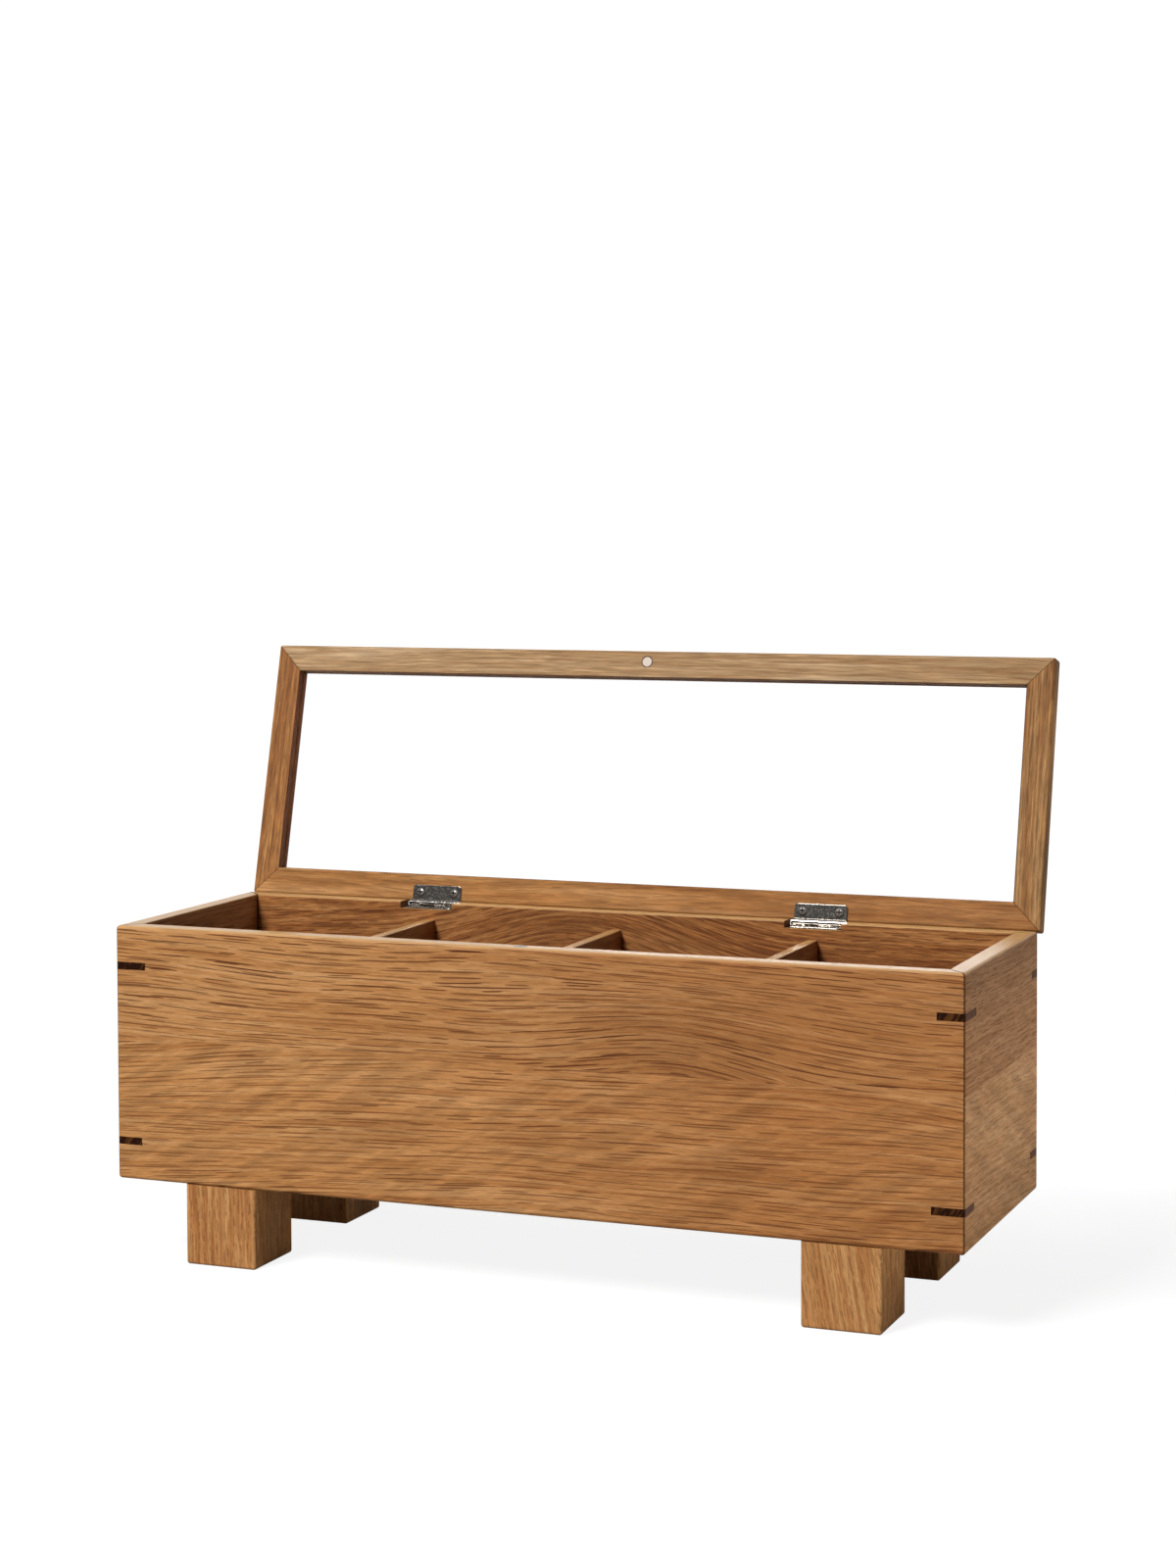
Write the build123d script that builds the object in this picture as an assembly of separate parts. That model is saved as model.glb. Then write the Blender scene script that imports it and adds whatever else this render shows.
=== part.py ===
"""Oak tea organizer on four block feet, with a hinged glass lid that stands open.

Millimetres, +Z up, X along the front, Y to the back. The origin lies on the table, under the
middle of the whole outline with the lid open.
"""
import os
from math import cos, radians, sin, sqrt

from build123d import *

# Body: four mitred walls
BOX_LENGTH = 350.0
BOX_DEPTH = 110.0
WALL_HEIGHT = 102.0
WALL = 8.0
EDGE_RADIUS = 1.5
RIM_INNER_RADIUS = 0.6

# Bottom board, tongued into the walls and flush with their lower edges
BOTTOM_THICKNESS = 8.0
TONGUE_THICKNESS = 3.0
TONGUE_DEPTH = 3.0
TONGUE_END_GAP = 0.2

# Dividers, housed in the front and back walls
COMPARTMENTS = 4
DIVIDER_THICKNESS = 4.5
DIVIDER_BELOW_RIM = 7.0
DIVIDER_EDGE_RADIUS = 0.6
HOUSING_DEPTH = 2.0

# Dark splines across the mitres: leg along the front or back face, leg along the end face
SPLINE_THICKNESS = 3.0
SPLINE_BELOW_RIM = 16.0
SPLINE_ABOVE_BASE = 15.5
SPLINE_LEGS = {
    "front_left_upper": (13.5, 12.5),
    "front_left_lower": (11.3, 12.0),
    "front_right_upper": (10.6, 15.5),
    "front_right_lower": (12.6, 12.8),
    "back_left_upper": (12.5, 12.0),
    "back_left_lower": (12.0, 12.5),
    "back_right_upper": (12.0, 10.2),
    "back_right_lower": (12.5, 12.2),
}

# Feet: oak blocks, flush with the front and back faces
FOOT_SIDE = 31.0
FOOT_HEIGHT = 32.0
FOOT_INSET = 31.0
FOOT_RADIUS = 1.2
FOOT_SCREW_HEAD = 7.0
FOOT_SCREW_CONE = 1.8
FOOT_SCREW_SHANK = 3.5
FOOT_SCREW_LENGTH = 28.0
FOOT_SCREW_POINT = 3.5
FOOT_SCREW_SINK = 0.5
FOOT_SCREW_FIT = 0.05

# Lid: mitred frame with a glass pane in a groove
LID_THICKNESS = 8.0
LID_RAIL = 11.4
LID_EDGE_RADIUS = 1.0
LID_INNER_RADIUS = 0.5
LID_GAP = 0.2
LID_LEAN = 14.0
GLASS_THICKNESS = 2.0
GLASS_BEDDING = 0.05
GLASS_IN_GROOVE = 3.5
GLASS_EDGE_GAP = 0.5

# Butt hinges, one leaf shape used four times
HINGE_X = {"left_hinge": -86.5, "right_hinge": 84.7}
HINGE_LENGTH = 22.4
HINGE_BEHIND_WALL = 1.0
LEAF_REACH = 7.7
LEAF_THICKNESS = 0.65
LEAF_CORNER_RADIUS = 1.4
LEAF_EDGE_RADIUS = 0.25
KNUCKLES_PER_LEAF = 2
KNUCKLE_GAP = 0.15
KNUCKLE_CLEARANCE = 0.35
PIN_DIAMETER = 1.6
PIN_FIT = 0.04
PIN_HEAD_DIAMETER = 2.4
PIN_HEAD_THICKNESS = 0.5
PIN_END_PLAY = 0.1
NOTCH_END_PLAY = 0.75

# Countersunk cross-head screws of the hinges
SCREW_HEAD_DIAMETER = 3.8
SCREW_DOME = 0.5
SCREW_CONE = 0.9
SCREW_SHANK = 2.0
SCREW_LENGTH = 6.0
SCREW_POINT = 1.2
SCREW_SPACING = 15.6
SCREW_REACH = 4.3
CROSS_LENGTH = 2.3
CROSS_WIDTH = 0.5
CROSS_DEPTH = 0.6
SCREW_FIT = 0.05

# Disc magnets in the front rail of the lid and in the front wall
MAGNET_DIAMETER = 5.0
MAGNET_THICKNESS = 2.0
MAGNET_FROM_FRONT = 4.7
MAGNET_FIT = 0.02

# How near two places lie to count as the same
SAME = 1e-4

# Places worked out from the sizes above
INNER_LENGTH = BOX_LENGTH - 2 * WALL
INNER_DEPTH = BOX_DEPTH - 2 * WALL
FRONT_Y = -BOX_DEPTH / 2
BACK_Y = BOX_DEPTH / 2
BASE_Z = FOOT_HEIGHT
FLOOR_Z = BASE_Z + BOTTOM_THICKNESS
RIM_Z = BASE_Z + WALL_HEIGHT
KNUCKLE_RADIUS = PIN_DIAMETER / 2 + PIN_FIT + LEAF_THICKNESS
NOTCH_DEPTH = 2 * KNUCKLE_RADIUS - LID_GAP
AXIS_Y = BACK_Y + HINGE_BEHIND_WALL
AXIS_Z = RIM_Z - NOTCH_DEPTH + KNUCKLE_RADIUS
LID_Z = RIM_Z + LID_GAP
OPEN_ANGLE = 90 + LID_LEAN
COMPARTMENT_PITCH = (INNER_LENGTH + DIVIDER_THICKNESS) / COMPARTMENTS

# The open lid's rearmost point, on the rounded outer edge of its front rail
LEAN = radians(LID_LEAN)
CORNER_UP = HINGE_BEHIND_WALL + BOX_DEPTH - LID_EDGE_RADIUS
CORNER_BACK = LID_Z - AXIS_Z + LID_THICKNESS - LID_EDGE_RADIUS
OPEN_REACH_Y = AXIS_Y + CORNER_UP * sin(LEAN) + CORNER_BACK * cos(LEAN) + LID_EDGE_RADIUS
ORIGIN_Y = (FRONT_Y + OPEN_REACH_Y) / 2


def block(length, depth, height, x, y, z):
    """A box centred on x and y, standing on z."""
    return Pos(x, y, z) * Box(length, depth, height, align=(Align.CENTER, Align.CENTER, Align.MIN))


def prism(points, z, height):
    """An upright prism on a plan outline."""
    outline = make_face(Polyline(*points, close=True))
    return Pos(0, 0, z) * extrude(outline, height)


def mitred_frame(ring, z, height):
    """Cuts a ring of the box's outline along its four mitres."""
    x1 = BOX_LENGTH / 2
    y1 = BOX_DEPTH / 2
    ridge = x1 - y1
    corners = {
        "front": [(-x1, -y1), (x1, -y1), (ridge, 0), (-ridge, 0)],
        "back": [(x1, y1), (-x1, y1), (-ridge, 0), (ridge, 0)],
        "left": [(-x1, y1), (-x1, -y1), (-ridge, 0)],
        "right": [(x1, -y1), (x1, y1), (ridge, 0)],
    }
    return {side: ring & prism(points, z, height) for side, points in corners.items()}


def screw(head, dome, cone, shank, length, point, spare=0.0):
    """A countersunk screw pointing down, its head's rim on z = 0; spare widens it into its hole."""
    r_head = head / 2 + spare
    r_shank = shank / 2 + spare
    bottom = -length - spare
    side = Polyline((r_head, 0), (r_shank, -cone), (r_shank, bottom + point), (0, bottom))
    top = Line((0, 0), (r_head, 0))
    if dome:
        ball = (r_head ** 2 + dome ** 2) / (2 * dome)
        half = dome - ball + sqrt(ball ** 2 - r_head ** 2 / 4)
        top = ThreePointArc((0, dome), (r_head / 2, half), (r_head, 0))
    spine = Line((0, bottom), (0, dome))
    return revolve(Plane.XZ * make_face([top, side, spine]), Axis.Z)


def hinge_screw(spare=0.0):
    return screw(SCREW_HEAD_DIAMETER, SCREW_DOME, SCREW_CONE, SCREW_SHANK, SCREW_LENGTH, SCREW_POINT, spare)


def foot_screw(spare=0.0):
    return screw(FOOT_SCREW_HEAD, 0, FOOT_SCREW_CONE, FOOT_SCREW_SHANK, FOOT_SCREW_LENGTH,
                 FOOT_SCREW_POINT, spare)


def foot_screw_hole():
    """The screw's own hole, with the counterbore above its sunk head."""
    bore = Cylinder(FOOT_SCREW_HEAD / 2 + FOOT_SCREW_FIT, FOOT_SCREW_SINK,
                    align=(Align.CENTER, Align.CENTER, Align.MIN))
    return foot_screw(FOOT_SCREW_FIT) + bore


def cross_cut():
    """The cross recess of a screw head."""
    arm = Box(CROSS_LENGTH, CROSS_WIDTH, 2 * CROSS_DEPTH)
    return Pos(0, 0, SCREW_DOME) * (arm + Rot(0, 0, 90) * arm)


def hinge_leaf():
    """One leaf with its knuckles, the hinge axis along X through the origin, reaching towards -Y."""
    bore = PIN_DIAMETER / 2 + PIN_FIT
    under = -KNUCKLE_RADIUS
    clear = KNUCKLE_RADIUS + KNUCKLE_CLEARANCE
    depth = LEAF_REACH - clear
    leaf = block(HINGE_LENGTH, depth, LEAF_THICKNESS, 0, -clear - depth / 2, under)
    leaf = fillet(leaf.edges().filter_by(Axis.Z).group_by(Axis.Y)[0], LEAF_CORNER_RADIUS)
    upper = leaf.faces().sort_by(Axis.Z)[-1]
    rim = [e for e in upper.edges() if e.center().Y < -clear - SAME]
    leaf = fillet(rim, LEAF_EDGE_RADIUS)
    span = HINGE_LENGTH / (2 * KNUCKLES_PER_LEAF)
    flat = Pos(-clear / 2, under + LEAF_THICKNESS / 2) * Rectangle(clear, LEAF_THICKNESS)
    profile = Circle(KNUCKLE_RADIUS) + flat - Circle(bore)
    for index in range(KNUCKLES_PER_LEAF):
        start = -HINGE_LENGTH / 2 + 2 * index * span + (KNUCKLE_GAP / 2 if index else 0)
        end = -HINGE_LENGTH / 2 + (2 * index + 1) * span - KNUCKLE_GAP / 2
        leaf += extrude(Plane.YZ.offset(start) * profile, end - start)
    for x in (-SCREW_SPACING / 2, SCREW_SPACING / 2):
        leaf -= Pos(x, -SCREW_REACH, under + LEAF_THICKNESS) * hinge_screw(SCREW_FIT)
    return leaf


def hinge_pin():
    length = HINGE_LENGTH + 2 * PIN_END_PLAY
    pin = Rot(0, 90, 0) * Cylinder(PIN_DIAMETER / 2, length)
    for side in (-1, 1):
        head = Rot(0, 90, 0) * Cylinder(PIN_HEAD_DIAMETER / 2, PIN_HEAD_THICKNESS)
        pin += Pos(side * (length + PIN_HEAD_THICKNESS) / 2, 0, 0) * head
    outer = [e for e in pin.edges().filter_by(GeomType.CIRCLE)
             if abs(e.center().X) > (length + PIN_HEAD_THICKNESS) / 2]
    return fillet(outer, PIN_HEAD_THICKNESS / 2)


def leaf_screws(spare=0.0):
    """The two screws of one leaf, in the leaf's own place."""
    inner = LEAF_THICKNESS - KNUCKLE_RADIUS
    one = hinge_screw(spare) if spare else hinge_screw() - cross_cut()
    return [Pos(x, -SCREW_REACH, inner) * one for x in (-SCREW_SPACING / 2, SCREW_SPACING / 2)]


def over(shape):
    """Turns a leaf or its screws from the box's side of the hinge to the lid's side."""
    return Rot(0, 180, 0) * shape


# Four walls from one ring
ring = block(BOX_LENGTH, BOX_DEPTH, WALL_HEIGHT, 0, 0, BASE_Z)
ring = fillet(ring.edges(), EDGE_RADIUS)
ring -= block(INNER_LENGTH, INNER_DEPTH, WALL_HEIGHT, 0, 0, BASE_Z)
rim_edges = [e for e in ring.edges() if abs(e.center().Z - RIM_Z) < SAME
             and abs(e.center().X) < INNER_LENGTH / 2 + SAME
             and abs(e.center().Y) < INNER_DEPTH / 2 + SAME]
ring = fillet(rim_edges, RIM_INNER_RADIUS)
tongue_z = BASE_Z + (BOTTOM_THICKNESS - TONGUE_THICKNESS) / 2
groove = 2 * (TONGUE_DEPTH + TONGUE_END_GAP)
ring -= block(INNER_LENGTH + groove, INNER_DEPTH + groove, TONGUE_THICKNESS, 0, 0, tongue_z)
divider_height = RIM_Z - DIVIDER_BELOW_RIM - FLOOR_Z
divider_x = [COMPARTMENT_PITCH * i - (INNER_LENGTH + DIVIDER_THICKNESS) / 2 for i in range(1, COMPARTMENTS)]
for x in divider_x:
    ring -= block(DIVIDER_THICKNESS, INNER_DEPTH + 2 * HOUSING_DEPTH, divider_height, x, 0, FLOOR_Z)

# Splines and their slots
outer_block = fillet(block(BOX_LENGTH, BOX_DEPTH, WALL_HEIGHT, 0, 0, BASE_Z).edges(), EDGE_RADIUS)
splines = {}
for name, (face_leg, end_leg) in SPLINE_LEGS.items():
    x1 = BOX_LENGTH / 2 * (1 if "right" in name else -1)
    y1 = BOX_DEPTH / 2 * (1 if "back" in name else -1)
    inward_x = -face_leg if x1 > 0 else face_leg
    inward_y = -end_leg if y1 > 0 else end_leg
    centre_z = RIM_Z - SPLINE_BELOW_RIM if "upper" in name else BASE_Z + SPLINE_ABOVE_BASE
    points = [(x1, y1), (x1 + inward_x, y1), (x1, y1 + inward_y)]
    wedge = prism(points, centre_z - SPLINE_THICKNESS / 2, SPLINE_THICKNESS)
    splines["spline_" + name] = wedge & outer_block
    ring -= wedge

# Box magnet's pocket in the rim, and the lid magnet's place in the closed lid
magnet_y = FRONT_Y + MAGNET_FROM_FRONT
magnet = Cylinder(MAGNET_DIAMETER / 2, MAGNET_THICKNESS, align=(Align.CENTER, Align.CENTER, Align.MIN))
pocket = Cylinder(MAGNET_DIAMETER / 2 + MAGNET_FIT, MAGNET_THICKNESS,
                  align=(Align.CENTER, Align.CENTER, Align.MIN))
box_magnet = Pos(0, magnet_y, RIM_Z - MAGNET_THICKNESS) * magnet
lid_magnet = Pos(0, magnet_y, LID_Z) * magnet
ring -= Pos(0, magnet_y, RIM_Z - MAGNET_THICKNESS) * pocket

# Hinge notches and pilot holes in the back wall
notch_length = HINGE_LENGTH + 2 * NOTCH_END_PLAY
for x in HINGE_X.values():
    ring -= block(notch_length, 2 * WALL, 2 * NOTCH_DEPTH, x, BACK_Y, RIM_Z - NOTCH_DEPTH)
    for hole in leaf_screws(SCREW_FIT):
        ring -= Pos(x, AXIS_Y, AXIS_Z) * hole

walls = mitred_frame(ring, BASE_Z, WALL_HEIGHT)

# Bottom board
bottom = block(INNER_LENGTH, INNER_DEPTH, BOTTOM_THICKNESS, 0, 0, BASE_Z)
bottom += block(INNER_LENGTH + 2 * TONGUE_DEPTH, INNER_DEPTH + 2 * TONGUE_DEPTH, TONGUE_THICKNESS,
                0, 0, tongue_z)

# Dividers
divider = block(DIVIDER_THICKNESS, INNER_DEPTH + 2 * HOUSING_DEPTH, divider_height, 0, 0, FLOOR_Z)
divider = fillet(divider.edges().filter_by(Axis.Y).group_by(Axis.Z)[-1], DIVIDER_EDGE_RADIUS)
dividers = {f"divider_{number}": Pos(x, 0, 0) * divider for number, x in enumerate(divider_x, 1)}

# Feet and the screws that hold them from inside
foot = block(FOOT_SIDE, FOOT_SIDE, FOOT_HEIGHT, 0, 0, 0)
foot_edges = foot.edges().filter_by(Axis.Z) + foot.edges().group_by(Axis.Z)[0]
foot = fillet(foot_edges, FOOT_RADIUS)
screw_z = FLOOR_Z - FOOT_SCREW_SINK
foot -= Pos(0, 0, screw_z) * foot_screw_hole()
foot_x = BOX_LENGTH / 2 - FOOT_INSET - FOOT_SIDE / 2
foot_y = BOX_DEPTH / 2 - FOOT_SIDE / 2
feet = {}
foot_screws = []
for depth_name, y in (("front", -foot_y), ("back", foot_y)):
    for side_name, x in (("left", -foot_x), ("right", foot_x)):
        feet[f"foot_{depth_name}_{side_name}"] = Pos(x, y, 0) * foot
        foot_screws.append(Pos(x, y, screw_z) * foot_screw())
        bottom -= Pos(x, y, screw_z) * foot_screw_hole()

# Lid frame, modelled closed on the rim
lid_ring = block(BOX_LENGTH, BOX_DEPTH, LID_THICKNESS, 0, 0, LID_Z)
lid_ring = fillet(lid_ring.edges(), LID_EDGE_RADIUS)
window_length = BOX_LENGTH - 2 * LID_RAIL
window_depth = BOX_DEPTH - 2 * LID_RAIL
lid_ring -= block(window_length, window_depth, LID_THICKNESS, 0, 0, LID_Z)
window_edges = [e for e in lid_ring.edges() if abs(e.center().X) < window_length / 2 + SAME
                and abs(e.center().Y) < window_depth / 2 + SAME
                and abs(abs(e.center().Z - LID_Z - LID_THICKNESS / 2) - LID_THICKNESS / 2) < SAME]
lid_ring = fillet(window_edges, LID_INNER_RADIUS)
glass_z = LID_Z + (LID_THICKNESS - GLASS_THICKNESS) / 2
rebate = 2 * (GLASS_IN_GROOVE + GLASS_EDGE_GAP)
lid_ring -= block(window_length + rebate, window_depth + rebate, GLASS_THICKNESS + 2 * GLASS_BEDDING,
                  0, 0, glass_z - GLASS_BEDDING)
glass = block(window_length + 2 * GLASS_IN_GROOVE, window_depth + 2 * GLASS_IN_GROOVE, GLASS_THICKNESS,
              0, 0, glass_z)
lid_ring -= Pos(0, magnet_y, LID_Z) * pocket
for x in HINGE_X.values():
    for hole in leaf_screws(SCREW_FIT):
        lid_ring -= Pos(x, AXIS_Y, AXIS_Z) * over(hole)
lid_frame = mitred_frame(lid_ring, LID_Z, LID_THICKNESS)

# What stays with the box
nodes = {
    "front_wall": walls["front"],
    "back_wall": walls["back"],
    "left_end_wall": walls["left"],
    "right_end_wall": walls["right"],
    "bottom_board": bottom,
    **dividers,
    **splines,
    **feet,
    "foot_screws": Compound(children=foot_screws),
    "box_magnet": box_magnet,
}

# What swings with the lid, as it lies when closed
lid_nodes = {
    "lid_front_rail": lid_frame["front"],
    "lid_back_rail": lid_frame["back"],
    "lid_left_stile": lid_frame["left"],
    "lid_right_stile": lid_frame["right"],
    "lid_glass": glass,
    "lid_magnet": lid_magnet,
}
for name, x in HINGE_X.items():
    place = Pos(x, AXIS_Y, AXIS_Z)
    nodes[name + "_box_leaf"] = place * hinge_leaf()
    nodes[name + "_pin"] = place * hinge_pin()
    nodes[name + "_box_screws"] = Compound(children=[place * one for one in leaf_screws()])
    lid_nodes[name + "_lid_leaf"] = place * over(hinge_leaf())
    lid_nodes[name + "_lid_screws"] = Compound(children=[place * over(one) for one in leaf_screws()])

# The lid swings open about the hinge axis until it leans back on its stop
swing = Pos(0, AXIS_Y, AXIS_Z) * Rot(-OPEN_ANGLE, 0, 0) * Pos(0, -AXIS_Y, -AXIS_Z)
for name, shape in lid_nodes.items():
    nodes[name] = swing * shape

os.makedirs("parts", exist_ok=True)
for name, shape in nodes.items():
    export_step(Pos(0, -ORIGIN_Y, 0) * shape, f"parts/{name}.step")

print("nodes", len(nodes))
print("hinge axis", round(AXIS_Y - ORIGIN_Y, 4), round(AXIS_Z, 4), "opens", OPEN_ANGLE)
print("origin shift", round(ORIGIN_Y, 4), "rim", RIM_Z, "floor", FLOOR_Z)
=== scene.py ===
"""Oak tea organizer with an open glass lid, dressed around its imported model. Metres, in the model's own frame."""
from math import cos, radians, sin

import bmesh
import bpy
from mathutils import Matrix, Vector


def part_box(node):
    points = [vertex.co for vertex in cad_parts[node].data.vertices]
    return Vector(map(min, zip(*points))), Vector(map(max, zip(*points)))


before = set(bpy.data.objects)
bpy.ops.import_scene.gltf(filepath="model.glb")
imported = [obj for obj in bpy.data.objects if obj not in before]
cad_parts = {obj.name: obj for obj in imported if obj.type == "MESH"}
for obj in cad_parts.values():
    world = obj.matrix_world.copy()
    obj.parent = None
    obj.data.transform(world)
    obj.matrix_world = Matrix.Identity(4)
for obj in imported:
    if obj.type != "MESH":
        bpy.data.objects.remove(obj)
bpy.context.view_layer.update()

# The four walls.
# One oak panel, glued up from two planks, cut in four and folded round the corners, so that the
# figure runs on from the front to the right end. The faces are sanded and oiled, the rims rubbed smoother.
MM = 0.001

# In millimetres, as the grain is drawn
BOX_LENGTH = 350
BOX_DEPTH = 110
BOX_MIDDLE_Y = -18.4246
FRONT_FACE_Y = BOX_MIDDLE_Y - BOX_DEPTH / 2
OUTLINE = (BOX_LENGTH / 2, BOX_DEPTH / 2, BOX_MIDDLE_Y)
PLANK_JOINT_Z = 89.3

# Turns that bring a board's grain onto u, for boards that lie along X, along Y and upright
LENGTHWISE = (0, 0, 0)
FRONT_TO_BACK = (0, 0, -90)
UPRIGHT = (0, 90, 0)

# A pattern this long along an axis doesn't change that way
ENDLESS = 1e6


def hex_colour(code):
    """An sRGB hex colour as linear RGBA."""
    parts = [int(code[i:i + 2], 16) / 255 for i in (1, 3, 5)]
    return tuple(c / 12.92 if c <= 0.04045 else ((c + 0.055) / 1.055) ** 2.4 for c in parts) + (1.0,)


def add(tree, kind, inputs=(), out=0, **settings):
    """Adds a node with its settings and links, and returns one output. An input is a value or an output."""
    made = tree.nodes.new("ShaderNode" + kind)
    for key, value in settings.items():
        setattr(made, key, value)
    for key, value in inputs.items() if isinstance(inputs, dict) else enumerate(inputs):
        if isinstance(value, bpy.types.NodeSocket):
            tree.links.new(value, made.inputs[key])
        else:
            made.inputs[key].default_value = value
    return made.outputs[out] if made.outputs else made


def new_material(name):
    """An empty node material and its tree."""
    material = bpy.data.materials.new(name)
    material.use_nodes = True
    material.node_tree.nodes.clear()
    return material, material.node_tree


def streaks(tree, flow, length, width, detail=2.0, slant=0.0):
    """Soft streaks of that length and width in millimetres, along the grain or slanted to it in degrees."""
    drawn = add(tree, "Mapping", (flow, (0, 0, 0), (0, 0, radians(slant)), (length, width, width)),
                vector_type="TEXTURE")
    return add(tree, "TexNoise", {"Vector": drawn, "Scale": 1.0, "Detail": detail, "Roughness": 0.55})


def pore_lines(tree, flow, apart, reach, thick, seed):
    """Open pores: fine lines that taper at both ends, one to each cell of staggered rows, in millimetres. Each
    has its own length, height in its row, tilt and depth of tone."""
    # Rows that lie across the board and slant through its thickness, so that every face cuts them
    rows = add(tree, "VectorMath", (flow, (0, 1 / apart, 0.9 / apart)), "Value", operation="DOT_PRODUCT")
    row = add(tree, "Math", (rows,), operation="FLOOR")
    stagger = add(tree, "TexWhiteNoise", {"W": add(tree, "Math", (row, seed), operation="ADD")},
                  noise_dimensions="1D")
    most_cells_staggered = 5.0
    cells = add(tree, "VectorMath", (flow, (1 / reach, 0, 0)), "Value", operation="DOT_PRODUCT")
    cells = add(tree, "Math", (stagger, most_cells_staggered, cells), operation="MULTIPLY_ADD")
    cell = add(tree, "Math", (cells,), operation="FLOOR")
    chance = add(tree, "TexWhiteNoise", (add(tree, "CombineXYZ", (cell, row, seed)),), "Color")
    middle, length, depth = add(tree, "SeparateXYZ", (chance,)).node.outputs

    # The line's taper towards both ends, and how far a point lies aside from its middle
    from_middle = add(tree, "Math", (add(tree, "Math", (cells,), operation="FRACT"), 0.5), operation="SUBTRACT")
    half = add(tree, "MapRange", (length, 0.0, 1.0, 0.17, 0.48))
    along = add(tree, "Math", (from_middle, half), operation="DIVIDE")
    taper = add(tree, "Math", (add(tree, "Math", (along,), operation="ABSOLUTE"), 5.0), operation="POWER")
    taper = add(tree, "Math", (1.0, taper), operation="SUBTRACT")
    height = add(tree, "MapRange", (middle, 0.0, 1.0, 0.2, 0.8))
    tilt = add(tree, "MapRange", (depth, 0.0, 1.0, -0.2, 0.2))
    height = add(tree, "Math", (from_middle, tilt, height), operation="MULTIPLY_ADD")
    aside = add(tree, "Math", (add(tree, "Math", (rows,), operation="FRACT"), height), operation="SUBTRACT")
    aside = add(tree, "Math", (aside,), operation="ABSOLUTE")
    inside = add(tree, "Math", (aside, -2 * apart / thick, taper), operation="MULTIPLY_ADD")
    line = add(tree, "MapRange", (inside, 0.0, 0.35, 0.0, 1.0))
    return add(tree, "Math", (line, add(tree, "MapRange", (depth, 0.0, 1.0, 0.6, 1.0))), operation="MULTIPLY")


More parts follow.
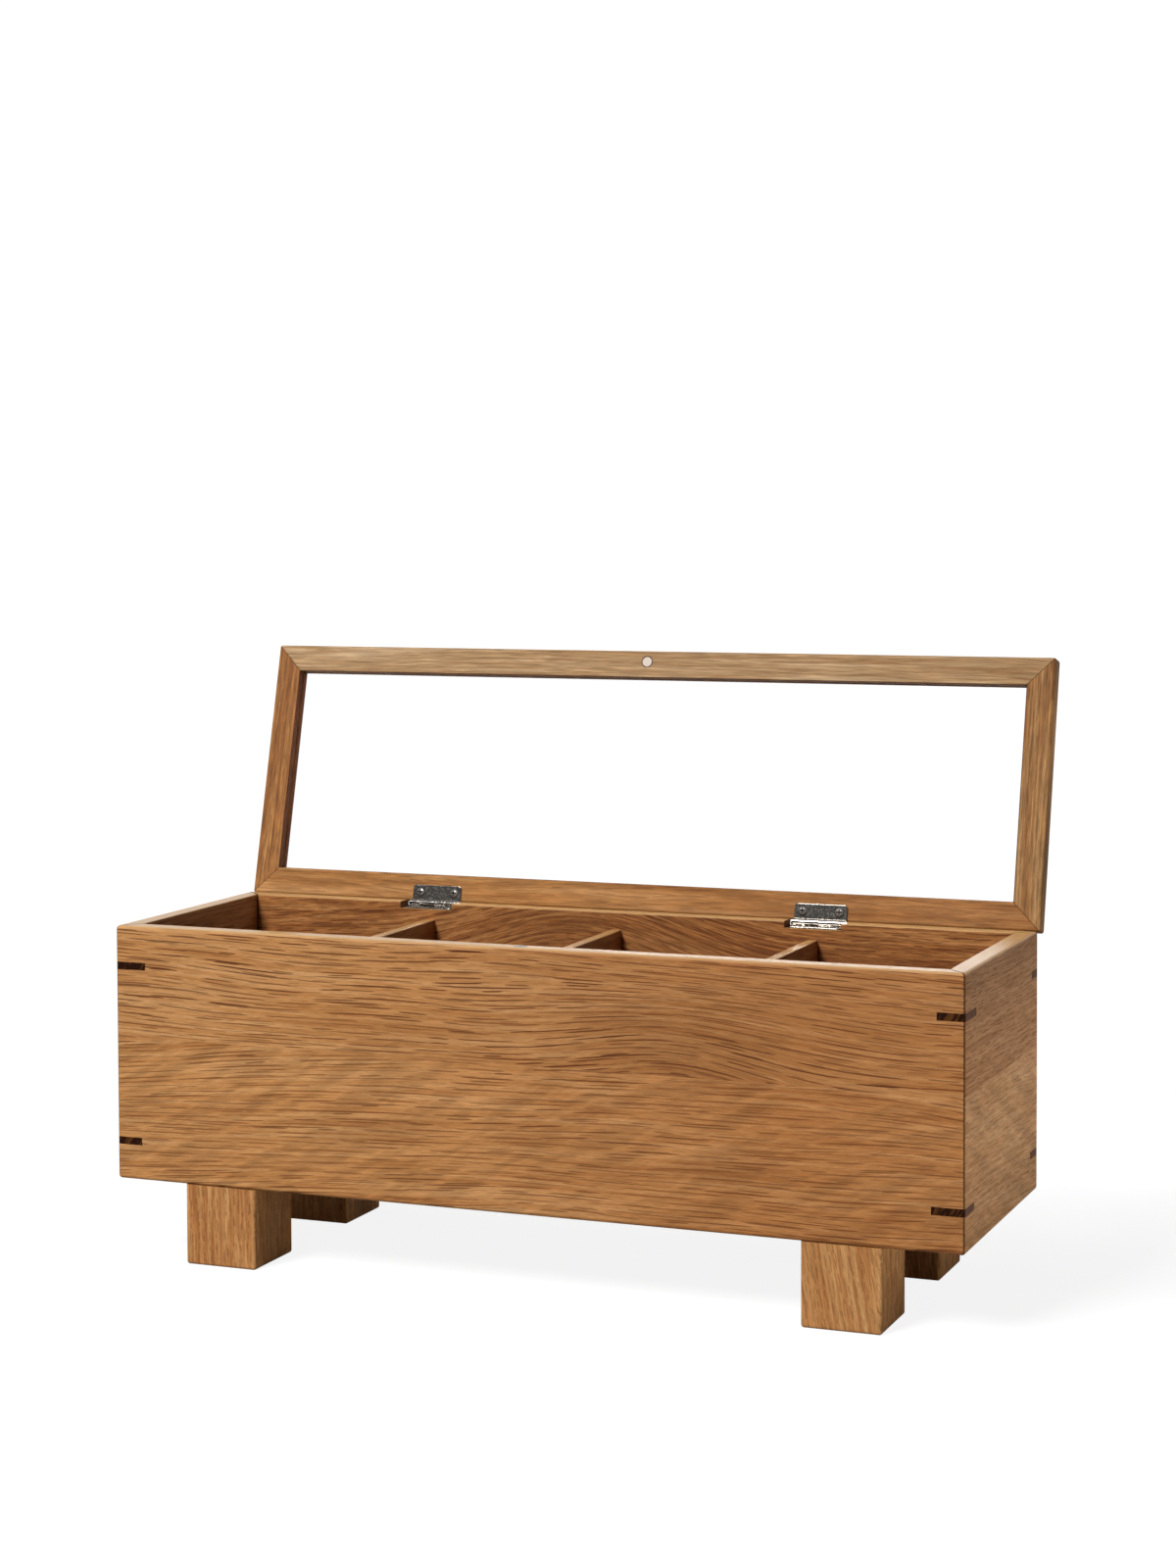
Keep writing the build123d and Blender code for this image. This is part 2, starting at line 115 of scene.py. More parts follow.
def oak(name, turn, shift, tones, pores=0.8, reach=48, figure=0.1, slant=20, band=2.8, slope=0.0, curve=0.0,
        upper_slope=0.0, hump=None, joint=None, upper_tint=None, outline=None, closed=None, rim=None, deepen=None,
        fibres=(7, 0.5, 0.15)):
    """Oiled oak, drawn in millimetres. turn lays a board's grain along u and its width along v, and shift picks
    its place in the plank. tones are its dark, middle and light wood. pores is how dark the pores are, reach
    how long. figure is how strong the rays' soft bands are, and slant their angle to the grain. band is the
    growth lines' width, and fibres the length, width and strength of the finest streaks. slope and curve bend
    the grain. joint is the height of the glue joint, upper_slope is the plank's slope above it, upper_tint
    darkens the wood above it, and hump raises the grain there. outline is what the mitres run in from, and
    closed turns the open lid shut. rim is the tone of faces that point up, partly rubbed wood and partly a
    painted highlight for the light from above, and deepen darkens the wood along u."""
    material, tree = new_material(name)
    place = add(tree, "TexCoord", out="Object")
    facing = add(tree, "TexCoord", out="Normal")
    if closed:
        moved, swung = closed
        place = add(tree, "Mapping", (place, moved, swung))
        facing = add(tree, "Mapping", (facing, (0, 0, 0), swung))
    turned = [radians(a) for a in turn]
    board = add(tree, "Mapping", (place, shift, turned, (1000, 1000, 1000)))
    u, w, v = add(tree, "SeparateXYZ", (board,)).node.outputs

    # The grain's course across the board. Above the glue joint it is another plank's, with its own slope and hump
    bend = add(tree, "Math", (u, curve, slope), operation="MULTIPLY_ADD")
    far_u, far_w = u, w
    if joint:
        plank_shift_u, plank_shift_w = -613.0, 290.0
        above = add(tree, "Math", (v, joint), operation="GREATER_THAN")
        bend = add(tree, "Mix", {0: above, 2: bend, 3: upper_slope}, data_type="FLOAT")
        far_u = add(tree, "Math", (above, plank_shift_u, u), operation="MULTIPLY_ADD")
        far_w = add(tree, "Math", (above, plank_shift_w, w), operation="MULTIPLY_ADD")
    bend = add(tree, "Math", (bend, u), operation="MULTIPLY")
    if hump:
        one_over_e = 0.3679
        u_at, v_at, reach_u, reach_v, height = hump
        off = add(tree, "Mapping", (board, (u_at, 0, v_at), (0, 0, 0), (reach_u, ENDLESS, reach_v)),
                  vector_type="TEXTURE")
        off = add(tree, "VectorMath", (off, off), "Value", operation="DOT_PRODUCT")
        swell = add(tree, "Math", (one_over_e, off), operation="POWER")
        swell = add(tree, "Math", (swell, above), operation="MULTIPLY")
        bend = add(tree, "Math", (swell, height, bend), operation="MULTIPLY_ADD")
    level = add(tree, "Math", (v, bend), operation="SUBTRACT")
    straight = add(tree, "CombineXYZ", (far_u, level, far_w))
    sway_length, sway_width, sway_reach = 150, 40, 9
    slow = add(tree, "Mapping", (straight, (0, 0, 0), (0, 0, 0), (sway_length, sway_width, sway_width)),
               vector_type="TEXTURE")
    sway = add(tree, "TexNoise", {"Vector": slow, "Scale": 1.0, "Detail": 1.0}, "Color")
    sway = add(tree, "VectorMath", (sway, (0.5, 0.5, 0.5)), operation="SUBTRACT")
    flow = add(tree, "VectorMath", (sway, (0, sway_reach, sway_reach), straight), operation="MULTIPLY_ADD")

    # Light and dark growth, slow clouds of tone, and the rays' soft figure across them
    growth_length, cloud_length, cloud_width, ray_length, ray_width = 70, 160, 22, 38, 5.5
    growth = streaks(tree, flow, growth_length, band, 3.0)
    cloud = streaks(tree, flow, cloud_length, cloud_width, 1.0)
    tone = add(tree, "Math", (cloud, 0.3, add(tree, "Math", (growth, 0.7), operation="MULTIPLY")),
               operation="MULTIPLY_ADD")
    colour = add(tree, "ValToRGB", (tone,))
    stops = colour.node.color_ramp.elements
    stops[0].position, stops[1].position = 0.36, 0.64
    stops[0].color, stops[1].color = hex_colour(tones[0]), hex_colour(tones[2])
    stops.new(0.5).color = hex_colour(tones[1])
    rays = streaks(tree, flow, ray_length, ray_width, 2.0, slant)
    rays = add(tree, "MapRange", (rays, 0.35, 0.65, -figure, figure), interpolation_type="SMOOTHSTEP")
    weaker_above = 0.4
    fading = add(tree, "Mix", {0: above, 2: 1.0, 3: weaker_above}, data_type="FLOAT") if joint else 1.0
    rays = add(tree, "Math", (rays, fading, 1.0), operation="MULTIPLY_ADD")
    length, width, strength = fibres
    fibre = streaks(tree, flow, length, width, 2.0)
    fibre = add(tree, "MapRange", (fibre, 0.3, 0.7, 1 - strength, 1 + strength))
    shade = add(tree, "Math", (rays, fibre), operation="MULTIPLY")
    if hump:
        darker_on_hump = -0.17
        shade = add(tree, "Math", (swell, darker_on_hump, shade), operation="MULTIPLY_ADD")
    colour = add(tree, "Mix", {0: 1.0, 6: colour, 7: shade}, 2, data_type="RGBA", blend_type="MULTIPLY")
    if deepen:
        start_u, end_u, darker = deepen
        depth = add(tree, "MapRange", (u, start_u, end_u, 0.0, 1.0), interpolation_type="SMOOTHSTEP")
        colour = add(tree, "Mix", {0: depth, 6: colour, 7: hex_colour(darker)}, 2,
                     data_type="RGBA", blend_type="MULTIPLY")
    if upper_tint:
        colour = add(tree, "Mix", {0: above, 6: colour, 7: hex_colour(upper_tint)}, 2,
                     data_type="RGBA", blend_type="MULTIPLY")

    # Open pores that hold the oil: long dark lines, and short faint ones between them
    crowd_length, crowd_width = 80, 11
    crowd = streaks(tree, flow, crowd_length, crowd_width, 1.0)
    crowd = add(tree, "MapRange", (crowd, 0.35, 0.6, 0.75, 1.0))
    long_pores = pore_lines(tree, flow, 2.3, reach, 0.58, 11.0)
    more_pores = pore_lines(tree, flow, 3.1, reach * 0.5, 0.54, 47.0)
    long_pores = add(tree, "Math", (long_pores, more_pores), operation="MAXIMUM")
    long_pores = add(tree, "Math", (long_pores, crowd), operation="MULTIPLY")
    short_pores = pore_lines(tree, flow, 1.6, reach * 0.3, 0.4, 83.0)
    faint = add(tree, "Math", (short_pores, 0.45), operation="MULTIPLY")
    dark = add(tree, "Math", (long_pores, faint), operation="MAXIMUM")
    if joint:
        fainter_below = 0.8
        pores = add(tree, "Mix", {0: above, 2: fainter_below * pores, 3: pores}, data_type="FLOAT")
    dark = add(tree, "Math", (dark, pores), operation="MULTIPLY")
    colour = add(tree, "Mix", {0: dark, 6: colour, 7: hex_colour("#55260A")}, 2, data_type="RGBA")

    # End grain drinks more oil, and goes darker
    end_on = add(tree, "Mapping", (facing, (0, 0, 0), turned))
    end_on = add(tree, "VectorMath", (end_on, (1, 0, 0)), "Value", operation="DOT_PRODUCT")
    end_on = add(tree, "Math", (end_on,), operation="ABSOLUTE")
    end_on = add(tree, "MapRange", (end_on, 0.75, 0.98, 0.0, 0.6), interpolation_type="SMOOTHSTEP")
    colour = add(tree, "Mix", {0: end_on, 6: colour, 7: hex_colour("#6E4626")}, 2, data_type="RGBA")

    # Faces that point up are rubbed smoother, and painted paler: partly the rims' rubbed wood, partly a painted
    # highlight for the light from above
    gloss = add(tree, "MapRange", (dark, 0.0, 1.0, 0.62, 0.75))
    if rim:
        up = add(tree, "VectorMath", (facing, (0, 0, 1)), "Value", operation="DOT_PRODUCT")
        up = add(tree, "MapRange", (up, 0.35, 0.95, 0.0, 1.0), interpolation_type="SMOOTHSTEP")
        pale = add(tree, "Math", (up, 0.7), operation="MULTIPLY")
        colour = add(tree, "Mix", {0: pale, 6: colour, 7: hex_colour(rim)}, 2, data_type="RGBA")
        gloss = add(tree, "Mix", {0: up, 2: gloss, 3: 0.28}, data_type="FLOAT")

    # Dark lines where the mitres meet, and painted shade on the lid's inner edges, next to the glass
    if outline:
        half_length, half_depth, middle_y = outline
        here = add(tree, "Mapping", (place, (0, -middle_y, 0), (0, 0, 0), (1000, 1000, 0)))
        if closed:
            outward = add(tree, "VectorMath", (here, facing), "Value", operation="DOT_PRODUCT")
            # Painted shade on the lid frame's inner edges, by the glass
            inner_edge_shade = add(tree, "MapRange", (outward, -38.0, -15.0, 0.9, 0.0), interpolation_type="SMOOTHSTEP")
            colour = add(tree, "Mix", {0: inner_edge_shade, 6: colour, 7: hex_colour("#5A2C12")}, 2, data_type="RGBA")
        here = add(tree, "VectorMath", (here,), operation="ABSOLUTE")
        apart = add(tree, "VectorMath", (here, (1, -1, 0)), "Value", operation="DOT_PRODUCT")
        apart = add(tree, "Math", (apart, half_length - half_depth), operation="SUBTRACT")
        apart = add(tree, "Math", (apart,), operation="ABSOLUTE")
        gap, strength = (0.15, 0.55) if closed else (0.3, 0.85)
        seam = add(tree, "MapRange", (apart, gap, gap + 0.35, strength, 0.0), interpolation_type="SMOOTHSTEP")
        colour = add(tree, "Mix", {0: seam, 6: colour, 7: hex_colour("#3A1E0C")}, 2, data_type="RGBA")
        gloss = add(tree, "Mix", {0: seam, 2: gloss, 3: 0.9}, data_type="FLOAT")
    relief = add(tree, "Math", (fibre, 0.6, add(tree, "Math", (1.0, dark), operation="SUBTRACT")),
                 operation="MULTIPLY_ADD")
    bump = add(tree, "Bump", {"Height": relief, "Strength": 0.35, "Distance": 0.06 * MM})
    surface = add(tree, "BsdfPrincipled", {"Base Color": colour, "Roughness": gloss, "Normal": bump, "IOR": 1.5,
                                          "Specular IOR Level": 0.2})
    add(tree, "OutputMaterial", (surface,))
    return material


def finish_node(node, material):
    """Gives a model node its material."""
    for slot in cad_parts[node].material_slots:
        slot.material = material


# The tone of faces that point up: partly the rims' rubbed wood, partly a painted highlight for the light from above
PALE_RIM = "#D0A56C"

# Humps in the grain: the middle along and up the board, the reach both ways, and the rise
RIGHT_HUMP = (64, 98, 42, 22, 9)
BACK_HUMP = (1485, 125, 60, 60, 22)

# The front is painted darker towards its right end: painted shade, where the light falls off there
finish_node("front_wall", oak(
    "oak_front_wall", LENGTHWISE, (0, -FRONT_FACE_Y, 0), ("#A36C3A", "#B37E4A", "#BF8E5B"), pores=1.0, reach=50,
    figure=0.12, slant=25, band=1.8, fibres=(4, 0.38, 0.13), slope=0.03, curve=-0.00015, upper_slope=-0.02,
    hump=RIGHT_HUMP, joint=PLANK_JOINT_Z, outline=OUTLINE, rim=PALE_RIM, deepen=(-110, 120, "#F2E9E3")))
finish_node("right_end_wall", oak(
    "oak_right_end_wall", FRONT_TO_BACK, (BOX_LENGTH / 2 - FRONT_FACE_Y, BOX_LENGTH / 2, 0),
    ("#9E7249", "#AF8257", "#BF946A"), pores=0.6, reach=20, figure=0.12, band=1.8, slant=-24, slope=-0.02,
    upper_slope=-0.03, joint=PLANK_JOINT_Z, upper_tint="#EAE2DE", outline=OUTLINE, rim=PALE_RIM))
# The left end's tones are darker than the other walls': a painted shade for its inner face, which the outer face
# takes too
finish_node("left_end_wall", oak(
    "oak_left_end_wall", FRONT_TO_BACK, (-900, 0, 0), ("#8F6036", "#9E6E41", "#AC7C4E"), pores=0.6,
    joint=PLANK_JOINT_Z, outline=OUTLINE, rim=PALE_RIM))
finish_node("back_wall", oak(
    "oak_back_wall", LENGTHWISE, (1500, 40, 0), ("#744320", "#986132", "#B47D49"), pores=0.85, reach=24, figure=0.2,
    slant=8, hump=BACK_HUMP, joint=PLANK_JOINT_Z, outline=OUTLINE, rim=PALE_RIM, band=1.7, fibres=(6, 0.5, 0.28)))

# The bottom board.
# A plain oak board, tongued into the walls, with its grain along the box.
finish_node("bottom_board", oak(
    "oak_bottom_board", LENGTHWISE, (2300, 130, 0), ("#A16C3D", "#B17D49", "#BF8D59"), pores=0.4))

# The three dividers.
# Thin oak boards, let into the front and back walls, with their grain from front to back, and their tops
# painted paler: partly rubbed wood, partly a painted highlight for the light from above.
for number in (1, 2, 3):
    finish_node(f"divider_{number}", oak(
        f"oak_divider_{number}", FRONT_TO_BACK, (3000 + 400 * number, 60 * number, 0),
        ("#8C5C33", "#9B6A3D", "#A9784A"), pores=0.4, figure=0.05, rim="#C4965D"))

# The splines.
# Slips of a near-black hardwood, glued into saw cuts across the mitres and planed flush. Their faces at the
# box's ends are paler.
slip, tree = new_material("dark_spline_hardwood")
place = add(tree, "TexCoord", out="Object")
slanted = add(tree, "Mapping", (place, (0, 0, 0), (0, radians(20), radians(45)), (MM, 7 * MM, 7 * MM)),
              vector_type="TEXTURE")
growth = add(tree, "TexNoise", {"Vector": slanted, "Scale": 1.0, "Detail": 2.0})
growth = add(tree, "MapRange", (growth, 0.48, 0.68, 0.0, 1.0), interpolation_type="SMOOTHSTEP")
colour = add(tree, "Mix", {0: growth, 6: hex_colour("#251006"), 7: hex_colour("#563216")}, 2, data_type="RGBA")
end_face = add(tree, "SeparateXYZ", (add(tree, "TexCoord", out="Normal"),))
end_face = add(tree, "Math", (end_face,), operation="ABSOLUTE")
end_face = add(tree, "MapRange", (end_face, 0.8, 1.0, 0.0, 0.55), interpolation_type="SMOOTHSTEP")
colour = add(tree, "Mix", {0: end_face, 6: colour, 7: hex_colour("#7D6050")}, 2, data_type="RGBA")
add(tree, "OutputMaterial", (add(tree, "BsdfPrincipled", {
    "Base Color": colour, "Roughness": 0.75, "Specular IOR Level": 0.05}),))
for face in ("front", "back"):
    for side in ("left", "right"):
        for level in ("upper", "lower"):
            finish_node(f"spline_{face}_{side}_{level}", slip)

# The four feet.
# Solid oak blocks with upright grain, softened along the edges, each held by a steel screw from inside.
for number, foot, lean in ((1, "front_left", 0.0), (2, "front_right", 0.17), (3, "back_left", 0.0),
                           (4, "back_right", 0.1)):
    finish_node("foot_" + foot, oak(
        "oak_foot_" + foot, UPRIGHT, (700 * number, 31 * number, 17 * number), ("#A06536", "#B5804C", "#C79660"),
        pores=0.5, reach=9, figure=0.04, band=1.9, slope=lean, fibres=(8, 0.6, 0.18)))

# The lid's frame.
# Slim oak rails and stiles, mitred, with a groove round the inside for the glass. Their figure and mitre
# lines are drawn on the shut lid and swing open with it.
HINGE_Y = 37.5754
HINGE_Z = 132.71
OPEN_ANGLE = radians(104)
pivot = Vector((0, HINGE_Y * MM, HINGE_Z * MM))
shut = (tuple(pivot - Matrix.Rotation(OPEN_ANGLE, 3, "X") @ pivot), (OPEN_ANGLE, 0, 0))
finish_node("lid_front_rail", oak(
    "oak_lid_front_rail", LENGTHWISE, (5200, 20, 0), ("#906A42", "#A5835B", "#BC9D78"), pores=0.25, figure=0.05,
    band=1.2, closed=shut, outline=OUTLINE, fibres=(12, 0.5, 0.28)))
finish_node("lid_back_rail", oak(
    "oak_lid_back_rail", LENGTHWISE, (5900, 80, 0), ("#905D2B", "#A2703B", "#B38350"), pores=0.35, reach=26,
    figure=0.1, slant=14, closed=shut, outline=OUTLINE, deepen=(5840, 6050, "#E8DDD4"), fibres=(12, 0.5, 0.26)))
finish_node("lid_left_stile", oak(
    "oak_lid_left_stile", FRONT_TO_BACK, (6400, 10, 0), ("#7A4B22", "#925F30", "#A97843"), pores=0.4, reach=14,
    figure=0.08, band=1.3, closed=shut, outline=OUTLINE, fibres=(10, 0.8, 0.36)))
finish_node("lid_right_stile", oak(
    "oak_lid_right_stile", FRONT_TO_BACK, (6900, 50, 0), ("#7C4D23", "#94683A", "#AD8656"), pores=0.4, reach=16,
    figure=0.1, band=1.5, closed=shut, outline=OUTLINE, fibres=(12, 0.8, 0.34)))

# The glass.
# A clear float-glass pane, bedded in the frame's groove. It lets the lamps through.
clear, tree = new_material("clear_float_glass")
pane = add(tree, "BsdfPrincipled", {"Base Color": hex_colour("#FFFFFF"), "Roughness": 0.0, "IOR": 1.5,
                                    "Transmission Weight": 1.0})
to_lamp = add(tree, "LightPath", out="Is Shadow Ray")
add(tree, "OutputMaterial", (add(tree, "MixShader", (to_lamp, pane, add(tree, "BsdfTransparent"))),))
finish_node("lid_glass", clear)

# The magnets.
# Nickel-plated discs, pressed into the lid's front rail and the front wall's rim, each with a painted shade round
# it for the thin gap it sits in.
MAGNET_RADIUS = 2.5
for node, tilt in (("lid_magnet", OPEN_ANGLE), ("box_magnet", 0.0)):
    disc, tree = new_material("nickel_plated_" + node)
    low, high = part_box(node)
    middle = [(a + b) / 2 for a, b in zip(low, high)]
    place = add(tree, "Mapping", (add(tree, "TexCoord", out="Object"), middle, (-tilt, 0, 0), (MM, MM, ENDLESS)),
                vector_type="TEXTURE")
    out_from_middle = add(tree, "VectorMath", (place,), "Value", operation="LENGTH")
    # A painted shade round the disc, for the thin gap it sits in
    gap_shade = add(tree, "MapRange", (out_from_middle, MAGNET_RADIUS - 0.6, MAGNET_RADIUS - 0.3, 0.0, 0.95),
               interpolation_type="SMOOTHSTEP")
    scuffs = add(tree, "TexNoise", {"Vector": place, "Scale": 1.3, "Detail": 3.0})
    colour = add(tree, "MapRange", (scuffs, 0.3, 0.7, 0.75, 1.0))
    colour = add(tree, "Mix", {0: 1.0, 6: hex_colour("#90857C"), 7: colour}, 2, data_type="RGBA",
                 blend_type="MULTIPLY")
    colour = add(tree, "Mix", {0: gap_shade, 6: colour, 7: hex_colour("#2A1A12")}, 2, data_type="RGBA")
    add(tree, "OutputMaterial", (add(tree, "BsdfPrincipled", {
        "Base Color": colour, "Metallic": 1.0, "Roughness": add(tree, "MapRange", (scuffs, 0.3, 0.7, 0.4, 0.5))}),))
    finish_node(node, disc)

# The hinges.
# Small butt hinges of rolled sheet steel, nickel-plated and tumbled, so the flats are finely pitted.
plate, tree = new_material("tumbled_nickel_plate")
place = add(tree, "TexCoord", out="Object")
PIT_SPACING = 0.6 * MM
pits = add(tree, "TexNoise", {"Vector": place, "Scale": 1 / PIT_SPACING, "Detail": 2.0})
bright_spots = add(tree, "MapRange", (pits, 0.5, 0.68, 0.0, 1.0), interpolation_type="SMOOTHSTEP")
colour = add(tree, "Mix", {0: bright_spots, 6: hex_colour("#827D77"), 7: hex_colour("#BDB6AE")}, 2,
             data_type="RGBA")
bump = add(tree, "Bump", {"Height": pits, "Strength": 0.04, "Distance": 0.01 * MM})
add(tree, "OutputMaterial", (add(tree, "BsdfPrincipled", {
    "Base Color": colour, "Metallic": 1.0, "Normal": bump,
    "Roughness": add(tree, "MapRange", (pits, 0.3, 0.7, 0.11, 0.18))}),))
for hinge in ("left_hinge", "right_hinge"):
    for part in ("_box_leaf", "_lid_leaf", "_pin"):
        finish_node(hinge + part, plate)

# The hinge screws and foot screws.
# Zinc-plated steel, turned and domed. Shade in the cross recess and in the gap round the head makes both
# look nearly black.
SCREW_SPACING = 15.6
SLOT_HALF_WIDTH = 0.25
SLOT_REACH = 1.1
HEAD_EDGE = 1.45
TURNING_MARKS = 0.6 * MM
for node, tilt in (("left_hinge_lid_screws", OPEN_ANGLE), ("right_hinge_lid_screws", OPEN_ANGLE),
                   ("left_hinge_box_screws", 0.0), ("right_hinge_box_screws", 0.0)):
    zinc, tree = new_material("zinc_plated_" + node)
    low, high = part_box(node)
    middle = [(a + b) / 2 for a, b in zip(low, high)]
    place = add(tree, "Mapping", (add(tree, "TexCoord", out="Object"), middle, (-tilt, 0, 0), (MM, MM, ENDLESS)),
                vector_type="TEXTURE")
    place = add(tree, "VectorMath", (place,), operation="ABSOLUTE")
    across, along = add(tree, "SeparateXYZ", (place,)).node.outputs[:2]
    across = add(tree, "Math", (across, SCREW_SPACING / 2), operation="SUBTRACT")
    across = add(tree, "Math", (across,), operation="ABSOLUTE")
    nearer = add(tree, "Math", (across, along), operation="MINIMUM")
    farther = add(tree, "Math", (across, along), operation="MAXIMUM")
    slot = add(tree, "MapRange", (nearer, SLOT_HALF_WIDTH, SLOT_HALF_WIDTH + 0.25, 1.0, 0.0))
    reach = add(tree, "MapRange", (farther, SLOT_REACH, SLOT_REACH + 0.25, 0.9, 0.0))
    recess = add(tree, "Math", (slot, reach), operation="MULTIPLY")
    off_centre = add(tree, "CombineXYZ", (across, along))
    off_centre = add(tree, "VectorMath", (off_centre,), "Value", operation="LENGTH")
    gap = add(tree, "MapRange", (off_centre, HEAD_EDGE, HEAD_EDGE + 0.3, 0.0, 0.8))
    shade = add(tree, "Math", (recess, gap), operation="MAXIMUM")
    turning = add(tree, "TexNoise", {"Vector": place, "Scale": 1.6})
    colour = add(tree, "Mix", {0: turning, 6: hex_colour("#87827C"), 7: hex_colour("#B5AFA8")}, 2, data_type="RGBA")
    colour = add(tree, "Mix", {0: shade, 6: colour, 7: hex_colour("#2A170D")}, 2, data_type="RGBA")
    add(tree, "OutputMaterial", (add(tree, "BsdfPrincipled", {
        "Base Color": colour, "Metallic": 1.0,
        "Roughness": add(tree, "MapRange", (shade, 0.0, 1.0, 0.3, 0.8))}),))
    finish_node(node, zinc)
plain, tree = new_material("zinc_plated_foot_screw")
turning = add(tree, "TexNoise", {"Vector": add(tree, "TexCoord", out="Object"), "Scale": 1 / TURNING_MARKS})
colour = add(tree, "Mix", {0: turning, 6: hex_colour("#87827C"), 7: hex_colour("#B5AFA8")}, 2, data_type="RGBA")
add(tree, "OutputMaterial", (add(tree, "BsdfPrincipled", {
    "Base Color": colour, "Metallic": 1.0, "Roughness": 0.3}),))
finish_node("foot_screws", plain)

# The studio floor, a wide pale table.
# It shows white to the eye and keeps the object's faint shadow. It sends less light back up at the wood than
# it seems to, and mirrors dark close to the object, as black cards beside it would.
FLOOR_REACH = 6
SEEN_WHITE = 1.07
shape = bmesh.new()
bmesh.ops.create_grid(shape, x_segments=1, y_segments=1, size=FLOOR_REACH)
floor_mesh = bpy.data.meshes.new("floor")
shape.to_mesh(floor_mesh)
shape.free()
floor = bpy.data.objects.new("floor", floor_mesh)
bpy.context.scene.collection.objects.link(floor)
pale, tree = new_material("pale_table")
ray = add(tree, "LightPath").node.outputs
distance = add(tree, "VectorMath", (add(tree, "TexCoord", out="Object"),), "Value", operation="LENGTH")
shaded = add(tree, "MapRange", (distance, 0.3, 0.9, 0.18, 0.0), interpolation_type="SMOOTHSTEP")
mirrored = add(tree, "MapRange", (distance, 0.3, 1.5, 0.95, 0.5), interpolation_type="SMOOTHSTEP")
white = add(tree, "Emission", ((1, 1, 1, 1), SEEN_WHITE))
card = add(tree, "BsdfDiffuse", ((0.95, 0.95, 0.95, 1),))
dull = add(tree, "BsdfDiffuse", ((0.36, 0.36, 0.36, 1),))
through = add(tree, "Math", (ray["Is Camera Ray"], ray["Is Transmission Ray"]), operation="MAXIMUM")
shown = add(tree, "MixShader", (shaded, white, card))
in_gloss = add(tree, "MixShader", (mirrored, white, dull))
lit = add(tree, "MixShader", (ray["Is Glossy Ray"], dull, in_gloss))
add(tree, "OutputMaterial", (add(tree, "MixShader", (through, lit, shown)),))
floor_mesh.materials.append(pale)

# The studio's backdrop and its faint fill light.
# It shows white to the eye. Glossy surfaces mirror it bright behind and overhead, and dim in front.
world = bpy.data.worlds.new("studio")
bpy.context.scene.world = world
world.use_nodes = True
tree = world.node_tree
tree.nodes.clear()
ray = add(tree, "LightPath").node.outputs
toward_y, toward_z = add(tree, "SeparateXYZ", (add(tree, "TexCoord", out="Generated"),)).node.outputs[1:]
behind = add(tree, "MapRange", (toward_y, -0.1, 0.3, 0.2, 1.0), interpolation_type="SMOOTHSTEP")
above = add(tree, "MapRange", (toward_z, 0.85, 0.97, 0.0, 0.9), interpolation_type="SMOOTHSTEP")
mirrored = add(tree, "Math", (behind, above), operation="MAXIMUM")
fill = add(tree, "MapRange", (toward_z, 0.0, 0.5, 0.25, 0.05), interpolation_type="SMOOTHSTEP")
level = add(tree, "Mix", {0: ray["Is Glossy Ray"], 2: fill, 3: mirrored}, data_type="FLOAT")
seen = add(tree, "Math", (ray["Is Camera Ray"], ray["Is Transmission Ray"]), operation="MAXIMUM")
level = add(tree, "Mix", {0: seen, 2: level, 3: SEEN_WHITE}, data_type="FLOAT")
add(tree, "OutputWorld", (add(tree, "Background", ((1, 1, 1, 1), level)),))

# The lamps.
# One large softbox, high in front at the left, does nearly all of the work. Three narrow beams stand for
# white cards: one behind lights the back, and two at the right light the box's end and the lid's side.


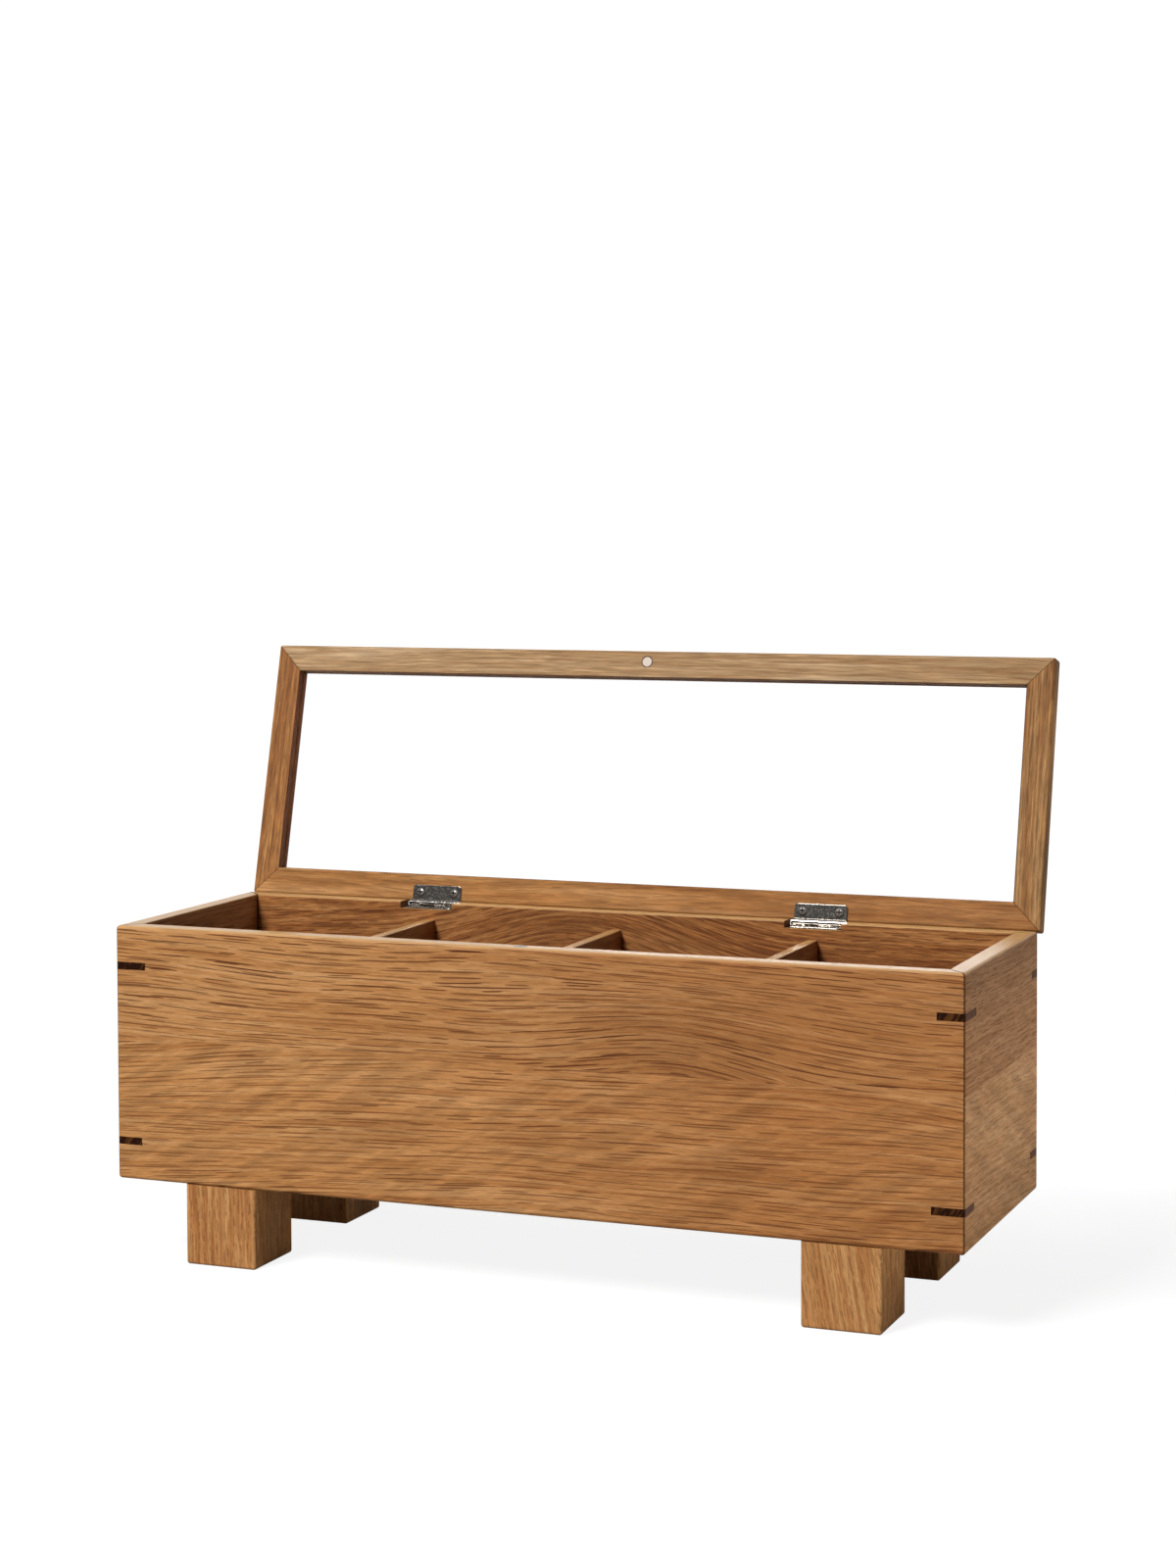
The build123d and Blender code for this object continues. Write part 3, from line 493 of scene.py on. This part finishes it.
def soft_lamp(name, at, aim, width, height, watts, spread=180):
    """A softbox at a point, turned to what it lights. A spread under 180 degrees makes it a beam with no glare."""
    lamp = bpy.data.lights.new(name, "AREA")
    lamp.shape = "RECTANGLE"
    lamp.size, lamp.size_y = width, height
    lamp.energy = watts
    lamp.spread = radians(spread)
    lamp_object = bpy.data.objects.new(name, lamp)
    bpy.context.scene.collection.objects.link(lamp_object)
    lamp_object.location = at
    lamp_object.rotation_euler = (Vector(aim) - Vector(at)).to_track_quat("-Z", "Y").to_euler()
    lamp_object.visible_camera = False
    lamp_object.visible_glossy = spread == 180


soft_lamp("key", (-0.84, -2.2, 2.25), (0, 0, 0.1), 0.9, 0.9, 115)
soft_lamp("low_lamp_behind", (-0.3, 1.9, 0.13), (-0.05, 0, 0.13), 0.6, 0.28, 0.35, 12)
soft_lamp("low_card_on_the_right", (0.75, -0.02, 0.078), (0, -0.02, 0.078), 0.5, 0.11, 0.1, 11)
soft_lamp("high_card_on_the_right", (0.75, 0.06, 0.205), (0, 0.05, 0.205), 0.3, 0.05, 0.022, 6)

# The camera, where the photograph was taken from.
# Its place, turn and lens were worked out from the box's own edges.
EYE = (0.4389425, -1.0475513 + BOX_MIDDLE_Y * MM, 0.2998476)
LENS_PIXELS = 2940.59
CENTRE_X, CENTRE_Y = 668.74, 651.31
PHOTO_WIDTH, PHOTO_HEIGHT = 1200, 1600
SENSOR = 36
yaw, pitch, roll = radians(21.0521), radians(-2.5702), radians(-0.1639)
ahead = Vector((-sin(yaw) * cos(pitch), cos(yaw) * cos(pitch), sin(pitch)))
level_right = Vector((cos(yaw), sin(yaw), 0))
level_up = level_right.cross(ahead)
right = level_right * cos(roll) + level_up * sin(roll)
up = right.cross(ahead)
camera = bpy.data.cameras.new("camera")
camera.sensor_width = SENSOR
camera.lens = LENS_PIXELS * SENSOR / PHOTO_HEIGHT
camera.shift_x = (PHOTO_WIDTH / 2 - CENTRE_X) / PHOTO_HEIGHT
camera.shift_y = (CENTRE_Y - PHOTO_HEIGHT / 2) / PHOTO_HEIGHT
camera.clip_start = 0.01
camera_object = bpy.data.objects.new("camera", camera)
bpy.context.scene.collection.objects.link(camera_object)
turned = Matrix((right, up, -ahead)).transposed().to_4x4()
camera_object.matrix_world = Matrix.Translation(EYE) @ turned
bpy.context.scene.camera = camera_object
bpy.context.scene.view_settings.view_transform = "Standard"
